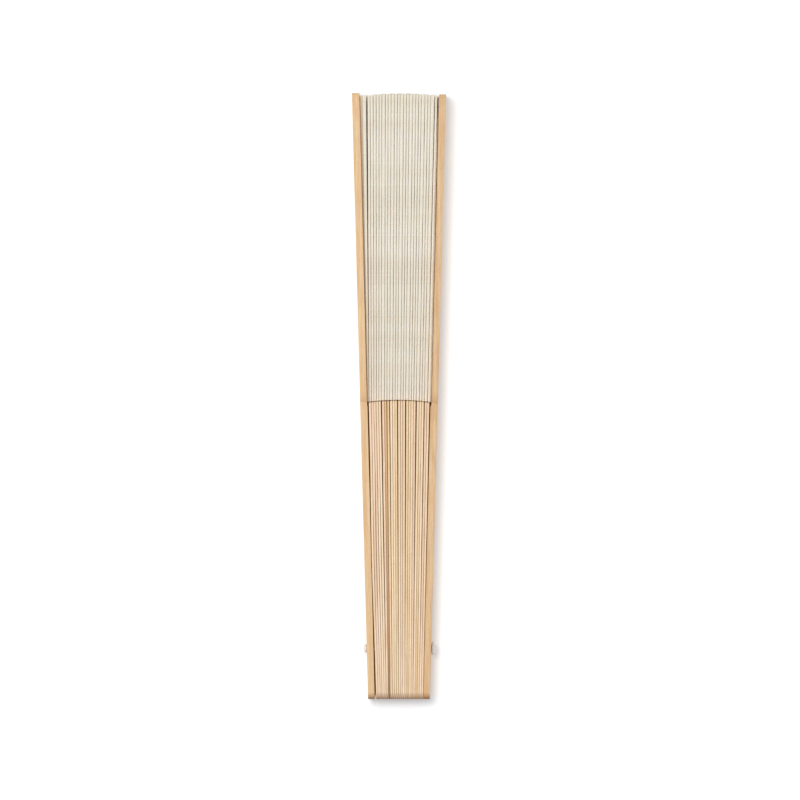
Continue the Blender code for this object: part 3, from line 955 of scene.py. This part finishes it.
    def section(self, stick: int, radius: float, shape: "PleatLines") -> list[Point]:
        """Draws one pleat cut across at a radius.

        Args:
            stick: The pleat's own stick.
            radius: Where it is cut.
            shape: The lines that its panels follow.

        Returns:
            X of each point, and its height as a share of the pleat's half height.
        """
        glued = self.line(shape.glued, radius)
        left = self.line(shape.crown, radius) + self.WAVE * self.wave(stick, radius)
        middle = self.line(shape.middle, radius)
        start, end = middle - shape.lean, middle + shape.lean
        following = self.line(shape.following, radius)
        top = 1 - self.SAG_SHARE * (1 + self.wave(stick + self.SAG_SHIFT, radius))
        turn = 1 - self.turn_depth / self.half_height(radius)
        depth = self.bend_depth if stick else self.FIRST_BEND_DEPTH
        bend = 1 - self.line(depth, radius) / self.half_height(radius)
        steps = range(self.GLUED_STEPS + 1)
        points = [(glued, between(-turn, bend, step / self.GLUED_STEPS)) for step in steps]
        along, up = self.RISE_SHARES.get(stick, self.EVEN_RISE_SHARES)
        points.append((between(glued, left, along), between(bend, turn, up)))
        points += self.turn(left, start, turn, top, self.TURN_STEPS)
        for step in range(1, self.FREE_STEPS):
            share = step / self.FREE_STEPS
            # The points are spaced by the inverse of an S-shaped curve, so that paper bent with that curve as
            # its weight opens evenly.
            eased = 0.5 - math.sin(math.asin(1 - 2 * share) / 3)
            across = middle + shape.lean * self.PLANE_SHARE * (2 * eased - 1)
            points.append((across, between(turn, -turn, share)))
        return points + self.turn(end, following, -turn, -1.0, self.BACK_STEPS)

    @staticmethod
    def turn(start: float, end: float, level: float, top: float, steps: int) -> list[Point]:
        """Draws the round of a fold.

        Args:
            start: X where the paper comes in.
            end: X where it goes out.
            level: The height of both.
            top: The height of the fold itself.
            steps: How many steps the round has.

        Returns:
            The points of the round.
        """
        turns = [math.pi * step / steps for step in range(steps + 1)]
        middle, half = (start + end) / 2, (end - start) / 2
        return [(middle - half * math.cos(angle), between(level, top, math.sin(angle))) for angle in turns]

    def panel_section(self, glued: Point, radius: float) -> list[Point]:
        """Draws the end panel cut across at a radius.

        Args:
            glued: X of the panel's middle at the leaf's inner and outer edge.
            radius: Where it is cut.

        Returns:
            X of each point, and its height as a share of a pleat's half height.
        """
        tip = max(1 - (self.outer - radius) / self.WEDGE_LENGTH, 0.0)
        low = self.turn_depth / self.half_height(self.inner) - 1
        high = 1 - between(*self.panel_top, tip) / self.half_height(radius)
        curl = self.line(self.PANEL_CURL, radius) * (1 - tip)
        points = []
        for step in range(self.FREE_STEPS + 1):
            share = step / self.FREE_STEPS
            away = curl * max(1 - (1 - share) / self.PANEL_CURL_SHARE, 0.0) ** 2
            points.append((self.line(glued, radius) - away, between(low, high, share)))
        return points

    def rows(self, draw: Callable[[float], list[Point]]) -> list[Row]:
        """Draws a section at each row along the leaf.

        Args:
            draw: Gives the section at a radius.

        Returns:
            The share along the leaf of each section, and its points.
        """
        shares = [row / self.ROWS for row in range(self.ROWS + 1)]
        return [(share, draw(between(self.inner, self.outer, share))) for share in shares]

    def folded(self, name: str, stick: int, rows: Sequence[Row]) -> bpy.types.Object:
        """Folds a flat grid of paper along its sections.

        Args:
            name: The piece's name.
            stick: The stick that it is glued to.
            rows: The share along the leaf of each section, and its points.

        Returns:
            The sheet, with its thickness and a UV map in metres.
        """
        columns = len(rows[0][1]) - 1
        bpy.ops.object.select_all(action="DESELECT")
        bpy.ops.mesh.primitive_grid_add(x_subdivisions=columns, y_subdivisions=len(rows) - 1, size=1)
        piece = bpy.context.active_object
        piece.name = name
        piece.data.name = name
        flat = {}
        for vertex in piece.data.vertices:
            column = round((vertex.co.x + 0.5) * columns)
            row = round((vertex.co.y + 0.5) * (len(rows) - 1))
            share, points = rows[row]
            radius = between(*self.span(stick + column / columns), share)
            across, height = points[column]
            vertex.co = self.sticks.place(across, radius, height * self.half_height(radius))
            flat[vertex.index] = (self.run_to(points, column, radius), radius)
        for loop in piece.data.loops:
            piece.data.uv_layers.active.data[loop.index].uv = flat[loop.vertex_index]
        thick = piece.modifiers.new("paper", "SOLIDIFY")
        thick.thickness = self.paper
        thick.offset = 0.0
        thick.use_even_offset = True
        apply_modifiers(piece)
        bpy.ops.object.shade_smooth_by_angle(angle=self.CREASE_ANGLE)
        return piece

    def run_to(self, points: list[Point], column: int, radius: float) -> float:
        """Measures the paper across a section, from its first point to one of its columns.

        Args:
            points: The section's points.
            column: Where to stop.
            radius: The section's radius.

        Returns:
            The length in metres.
        """
        half = self.half_height(radius)
        pairs = zip(points[:column], points[1:column + 1])
        return sum(math.hypot(b[0] - a[0], (b[1] - a[1]) * half) for a, b in pairs)

    def declare(self, piece: bpy.types.Object, rows: Sequence[Row]) -> None:
        """States the flat size that a piece of the leaf was cut to.

        Args:
            piece: The folded piece.
            rows: The share along the leaf of each of its sections, and its points.
        """
        length = self.outer - self.inner
        widths = []
        for share, points in rows:
            widths.append(self.run_to(points, len(points) - 1, between(self.inner, self.outer, share)))
        in_mm = [MM_PER_M * size for size in (widths[0], max(widths), length)]
        REPORT.info("%s was cut %.1f to %.1f mm wide and %.1f mm long", piece.name, *in_mm)

    def build_pleat(self, stick: int, paper: bpy.types.Material) -> None:
        """Folds one pleat in place between its two sticks.

        Args:
            stick: The pleat's own stick.
            paper: The leaf's material.
        """
        node = f"leaf_pleat_{stick:02d}"
        shape = PleatLines.of(self, stick)
        rows = self.rows(lambda radius: self.section(stick, radius, shape))
        piece = self.folded(node + "_paper", stick, rows)
        piece.data.materials.append(paper)
        start, end = self.bending_planes(shape)
        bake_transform(piece)
        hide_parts(node)
        self.declare(piece, rows)

    def bending_planes(self, shape: "PleatLines") -> tuple[Vector, Vector]:
        """Finds the planes between which a free panel bends.

        Args:
            shape: The lines that the pleat follows.

        Returns:
            A point on the plane of its own stick and the nearest one on the plane of the next.
        """
        radius = (self.inner + self.outer) / 2
        slope = (shape.middle[1] - shape.middle[0]) / (self.outer - self.inner)
        lean = shape.lean * self.PLANE_SHARE
        across = self.line(shape.middle, radius)
        step = 2 * lean / (1 + slope * slope)
        start = Vector(self.sticks.place(across - lean, radius, 0.0))
        end = Vector(self.sticks.place(across - lean + step, radius - slope * step, 0.0))
        return start, end

    def build_end_panel(self, paper: bpy.types.Material) -> None:
        """Lays the last panel flat inside the right guard.

        Args:
            paper: The leaf's material.
        """
        last = self.ribs + 1
        glued = self.glued(last)
        rows = self.rows(lambda radius: self.panel_section(glued, radius))
        piece = self.folded("leaf_end_panel_paper", last, rows)
        piece.data.materials.append(paper)
        settle(piece, self.node_of(last), ["leaf_end_panel"])
        self.declare(piece, rows)

    def build(self) -> None:
        """Builds the whole leaf."""
        paper = PaperFinish("cream_fan_paper", self.inner, self.outer).material()
        for stick in range(self.ribs + 1):
            self.build_pleat(stick, paper)
        self.build_end_panel(paper)


@dataclass(frozen=True)
class PleatLines:
    """The straight lines that one pleat follows, each as X at the leaf's inner and outer edge.

    Attributes:
        glued: The panel glued to the pleat's own stick.
        crown: The left side of the front fold.
        middle: The middle of the free panel.
        lean: How far the free panel leans to each side of its middle.
        following: The panel glued to the next stick.
    """

    glued: Point
    crown: Point
    middle: Point
    lean: float
    following: Point

    @classmethod
    def of(cls, leaf: PleatedLeaf, stick: int) -> "PleatLines":
        """Measures the lines of a pleat.

        Args:
            leaf: The leaf that it belongs to.
            stick: The pleat's own stick.

        Returns:
            Its lines.
        """
        glued = leaf.glued(stick)
        if stick == 0:
            crown = (glued[0] + leaf.FIRST_CROWN_INSET[0], glued[1] + leaf.FIRST_CROWN_INSET[1])
        else:
            before, lean = leaf.free(stick - 1)
            apart = leaf.paper + leaf.slot - lean
            extra = leaf.EXTRA_SLOTS.get(stick, (0.0, 0.0))
            crown = (before[0] + apart + extra[0], before[1] + apart + extra[1])
        middle, lean = leaf.free(stick)
        return cls(glued, crown, middle, lean, leaf.glued(stick + 1))


@dataclass
class Rivet:
    """The nylon pin: a moulded head on the right and an end flared by heat on the left.

    Attributes:
        sticks: The fan's own axes.
        sides: How many sides its rounds have.
        head_height: The head's height.
        rim_height: How high the head's straight rim is.
        rim_round: The round between rim and dome.
        shank_radius: The pin's radius.
        flare_radius: The flared end's radius.
        flare_height: The flared end's height.
        gate_radius: The radius of the mould's gate mark on the head.
        gate_depth: The depth of that mark.
    """

    sticks: StickFrame
    sides: int = 64
    head_height: float = 0.0018
    rim_height: float = 0.0007
    rim_round: float = 0.00015
    shank_radius: float = 0.0014
    flare_radius: float = 0.00165
    flare_height: float = 0.0010
    gate_radius: float = 0.00045
    gate_depth: float = 0.00012

    # The gate mark's floor is narrower than its lip, which stands a little below the dome.
    DOME_STEPS = 8
    GATE_FLOOR_SHARE = 0.7
    GATE_LIP_SHARE = 0.2
    GATE_RIM_SHARE = 1.1
    FLARE_RIM_SHARE = 0.8
    SMOOTH_ANGLE = math.radians(35)

    def dome(self, radius: float, height: float, rim: float) -> list[Point]:
        """Draws a dome from its middle to its rim.

        Args:
            radius: The dome's radius.
            height: The whole height above the seat.
            rim: The height of the straight rim.

        Returns:
            Heights above the seat, and radii.
        """
        turns = [math.pi / 2 * step / self.DOME_STEPS for step in range(1, self.DOME_STEPS + 1)]
        return [(between(rim, height, math.cos(turn)), radius * math.sin(turn)) for turn in turns]

    def profile(self) -> list[Point]:
        """Draws the rivet's side, from the head's middle to the flared end's.

        Returns:
            X and radius of each station.
        """
        low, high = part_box("rivet")
        head_radius = (high.z - low.z) / 2
        head_seat = high.x - self.head_height
        flare_seat = low.x + self.flare_height
        gate = [
            (high.x - self.gate_depth, self.gate_radius * self.GATE_FLOOR_SHARE),
            (high.x - self.gate_depth * self.GATE_LIP_SHARE, self.gate_radius),
        ]
        head = [
            (head_seat + height, radius)
            for height, radius in self.dome(head_radius, self.head_height, self.rim_height)
            if radius > self.gate_radius * self.GATE_RIM_SHARE
        ]
        seat = [
            (head_seat + self.rim_round, head_radius),
            (head_seat, head_radius - self.rim_round),
            (head_seat, self.shank_radius),
            (flare_seat, self.shank_radius),
            (flare_seat, self.flare_radius - self.rim_round),
            (flare_seat - self.rim_round, self.flare_radius),
        ]
        flare_rim = self.rim_height * self.FLARE_RIM_SHARE
        flare = [
            (flare_seat - height, radius)
            for height, radius in reversed(self.dome(self.flare_radius, self.flare_height, flare_rim))
        ]
        return gate + head + seat + flare

    def build(self) -> None:
        """Draws a filled circle along the axis, station by station, which leaves both ends closed."""
        stations = self.profile()
        axis = Vector((0.0, self.sticks.pivot.y, self.sticks.pivot.z))
        bpy.ops.object.select_all(action="DESELECT")
        bpy.ops.mesh.primitive_circle_add(
            vertices=self.sides,
            radius=stations[0][1],
            fill_type="NGON",
            location=(stations[0][0], axis.y, axis.z),
            rotation=(0.0, math.pi / 2, 0.0),
        )
        piece = bpy.context.active_object
        piece.name = "rivet_nylon"
        bpy.ops.object.transform_apply(location=True, rotation=True, scale=True)
        bpy.ops.object.mode_set(mode="EDIT")
        bpy.ops.mesh.select_all(action="SELECT")
        for before, after in zip(stations, stations[1:]):
            step = {"value": (after[0] - before[0], 0.0, 0.0)}
            bpy.ops.mesh.extrude_region_move(TRANSFORM_OT_translate=step)
            share = after[1] / before[1]
            bpy.ops.transform.resize(value=(1.0, share, share), center_override=(after[0], axis.y, axis.z))
        bpy.ops.mesh.select_all(action="SELECT")
        bpy.ops.mesh.normals_make_consistent(inside=False)
        bpy.ops.object.mode_set(mode="OBJECT")
        bpy.ops.object.shade_smooth_by_angle(angle=self.SMOOTH_ANGLE)
        piece.data.materials.append(NylonFinish("milky_nylon").material())
        settle(piece, "guard_left", ["rivet"])


@dataclass
class Studio:
    """The plain set: a white floor, even light from all round and one soft lamp at the upper left.

    Attributes:
        sticks: The fan's own axes; not used.
        picture_width: How much of the fan's own plane the photograph shows across.
        picture_middle: The point of that plane in the photograph's middle.
        lens: The camera's focal length in millimetres.
        even_light: How bright the light from all round makes a white surface.
        sky: How bright the camera sees what lies beyond the floor.
        lamp_light: How much the lamp adds to that on the floor.
        lamp_place: Where the lamp is.
        lamp_size: How wide it is.
        floor_size: How wide the floor is.
        floor_colour: The floor's own colour.
        floor_glow: How much plain white the camera sees on top of the lit floor, as in a bright exposure.
        cover_height: How near above the floor something has to be to cover it.
    """

    sticks: StickFrame
    picture_width: float = 0.30313
    picture_middle: Point = (0.0004, -0.00148)
    lens: float = 300.0
    even_light: float = 0.52
    sky: float = 1.04
    lamp_light: float = 0.48
    lamp_place: Place = (-0.26, 0.21, 1.45)
    lamp_size: float = 0.50
    floor_size: float = 1.4
    floor_colour: str = "#FBFDFF"
    floor_glow: float = 0.20
    cover_height: float = 0.030

    # Painted shade: the dim brown of shaded wood, which the floor takes and glows with where the sticks cover
    # it.
    GAP_SHADE_BROWN = "#4E2E15"
    COVER_RANGE = {"From Min": 0.04, "From Max": 0.25}
    BOARD_ROUGHNESS = 0.9
    SKY_COLOUR = "#FBFCFF"

    def build_floor(self) -> None:
        """Lays the floor just under the guards' edges."""
        bpy.ops.object.select_all(action="DESELECT")
        bpy.ops.mesh.primitive_plane_add(size=self.floor_size, location=(0.0, 0.0, -MERGE_DISTANCE))
        floor = bpy.context.active_object
        floor.name = "floor"
        floor.data.materials.append(self.white_board())

    def white_board(self) -> bpy.types.Material:
        """Makes the floor's matt white, which the camera sees as brightly as the photograph shows it.

        Between the sticks, where hardly any sky reaches the floor, it is painted, and glows, with the dim
        brown of shaded wood: painted shade.

        Returns:
            The floor's material.
        """
        board = NodeBoard(bpy.data.materials.new("matt_white_board"))
        sky = board.add("AmbientOcclusion", {"Distance": self.cover_height}).outputs["AO"]
        bare = board.add("MapRange", {"Value": sky, **self.COVER_RANGE})
        painted = {"Factor": bare, "A": srgb(self.GAP_SHADE_BROWN), "B": srgb(self.floor_colour)}
        colour = board.add("Mix", painted, data_type="RGBA")
        matt = {"Roughness": self.BOARD_ROUGHNESS, "Specular IOR Level": 0.0}
        board.feed(board.shader, {"Base Color": colour, **matt})
        # Painted shade: where the sticks cover the floor, the camera sees it glow dim brown instead of white.
        glowing = {"Factor": bare, "A": srgb(self.GAP_SHADE_BROWN), "B": (*[self.floor_glow] * 3, 1.0)}
        colour = board.add("Mix", glowing, data_type="RGBA")
        glow = board.add("Emission", {"Color": colour, "Strength": board.seen()})
        board.feed(board.output, {"Surface": board.add("AddShader", {0: board.shader, 1: glow})})
        return board.owner

    def build_light(self) -> None:
        """Sets the even light and the lamp."""
        board = NodeBoard(bpy.data.worlds.new("even_light"))
        shown = {"Value": board.seen(), "To Min": self.even_light, "To Max": self.sky}
        strength = board.add("MapRange", shown)
        board.feed(board.shader, {"Color": srgb(self.SKY_COLOUR), "Strength": strength})
        bpy.context.scene.world = board.owner
        place = Vector(self.lamp_place)
        lamp = bpy.data.lights.new("soft_lamp", "AREA")
        lamp.shape = "DISK"
        lamp.size = self.lamp_size
        slant = place.z / place.length
        lamp.energy = self.lamp_light * math.pi ** 2 * place.length_squared / slant
        holder = bpy.data.objects.new("soft_lamp", lamp)
        holder.location = place
        holder.rotation_euler = (-place).to_track_quat("-Z", "Y").to_euler()
        bpy.context.scene.collection.objects.link(holder)

    def build_camera(self) -> None:
        """Looks straight down at the fan, from as far as the lens needs for the photograph's frame."""
        camera = bpy.data.cameras.new("camera")
        camera.lens = self.lens
        holder = bpy.data.objects.new("camera", camera)
        plane = CAD_BOX[1].z
        distance = self.picture_width * self.lens / camera.sensor_width
        holder.location = (*self.picture_middle, plane + distance)
        bpy.context.scene.collection.objects.link(holder)
        bpy.context.scene.camera = holder

    def build(self) -> None:
        """Builds the set."""
        self.build_floor()
        self.build_light()
        self.build_camera()
        bpy.context.scene.view_settings.view_transform = "Standard"


def main() -> None:
    """Builds the studio, then the sticks, the leaf and the rivet."""
    logging.basicConfig(level=logging.INFO, format="%(name)s: %(message)s")
    sticks = StickFrame(Vector(frame["joints"][0]["pos_m"]))
    Studio(sticks).build()
    ribs = sum(name.startswith("rib_") for name in frame["nodes"])
    opening = math.radians(frame["joints"][0]["range_deg"][1])
    for side in Side:
        Guard(side).build()
    leaf = PleatedLeaf(sticks, ribs, opening)
    RibPack(sticks, leaf).build()
    leaf.build()
    Rivet(sticks).build()


if __name__ == "__main__":
    main()
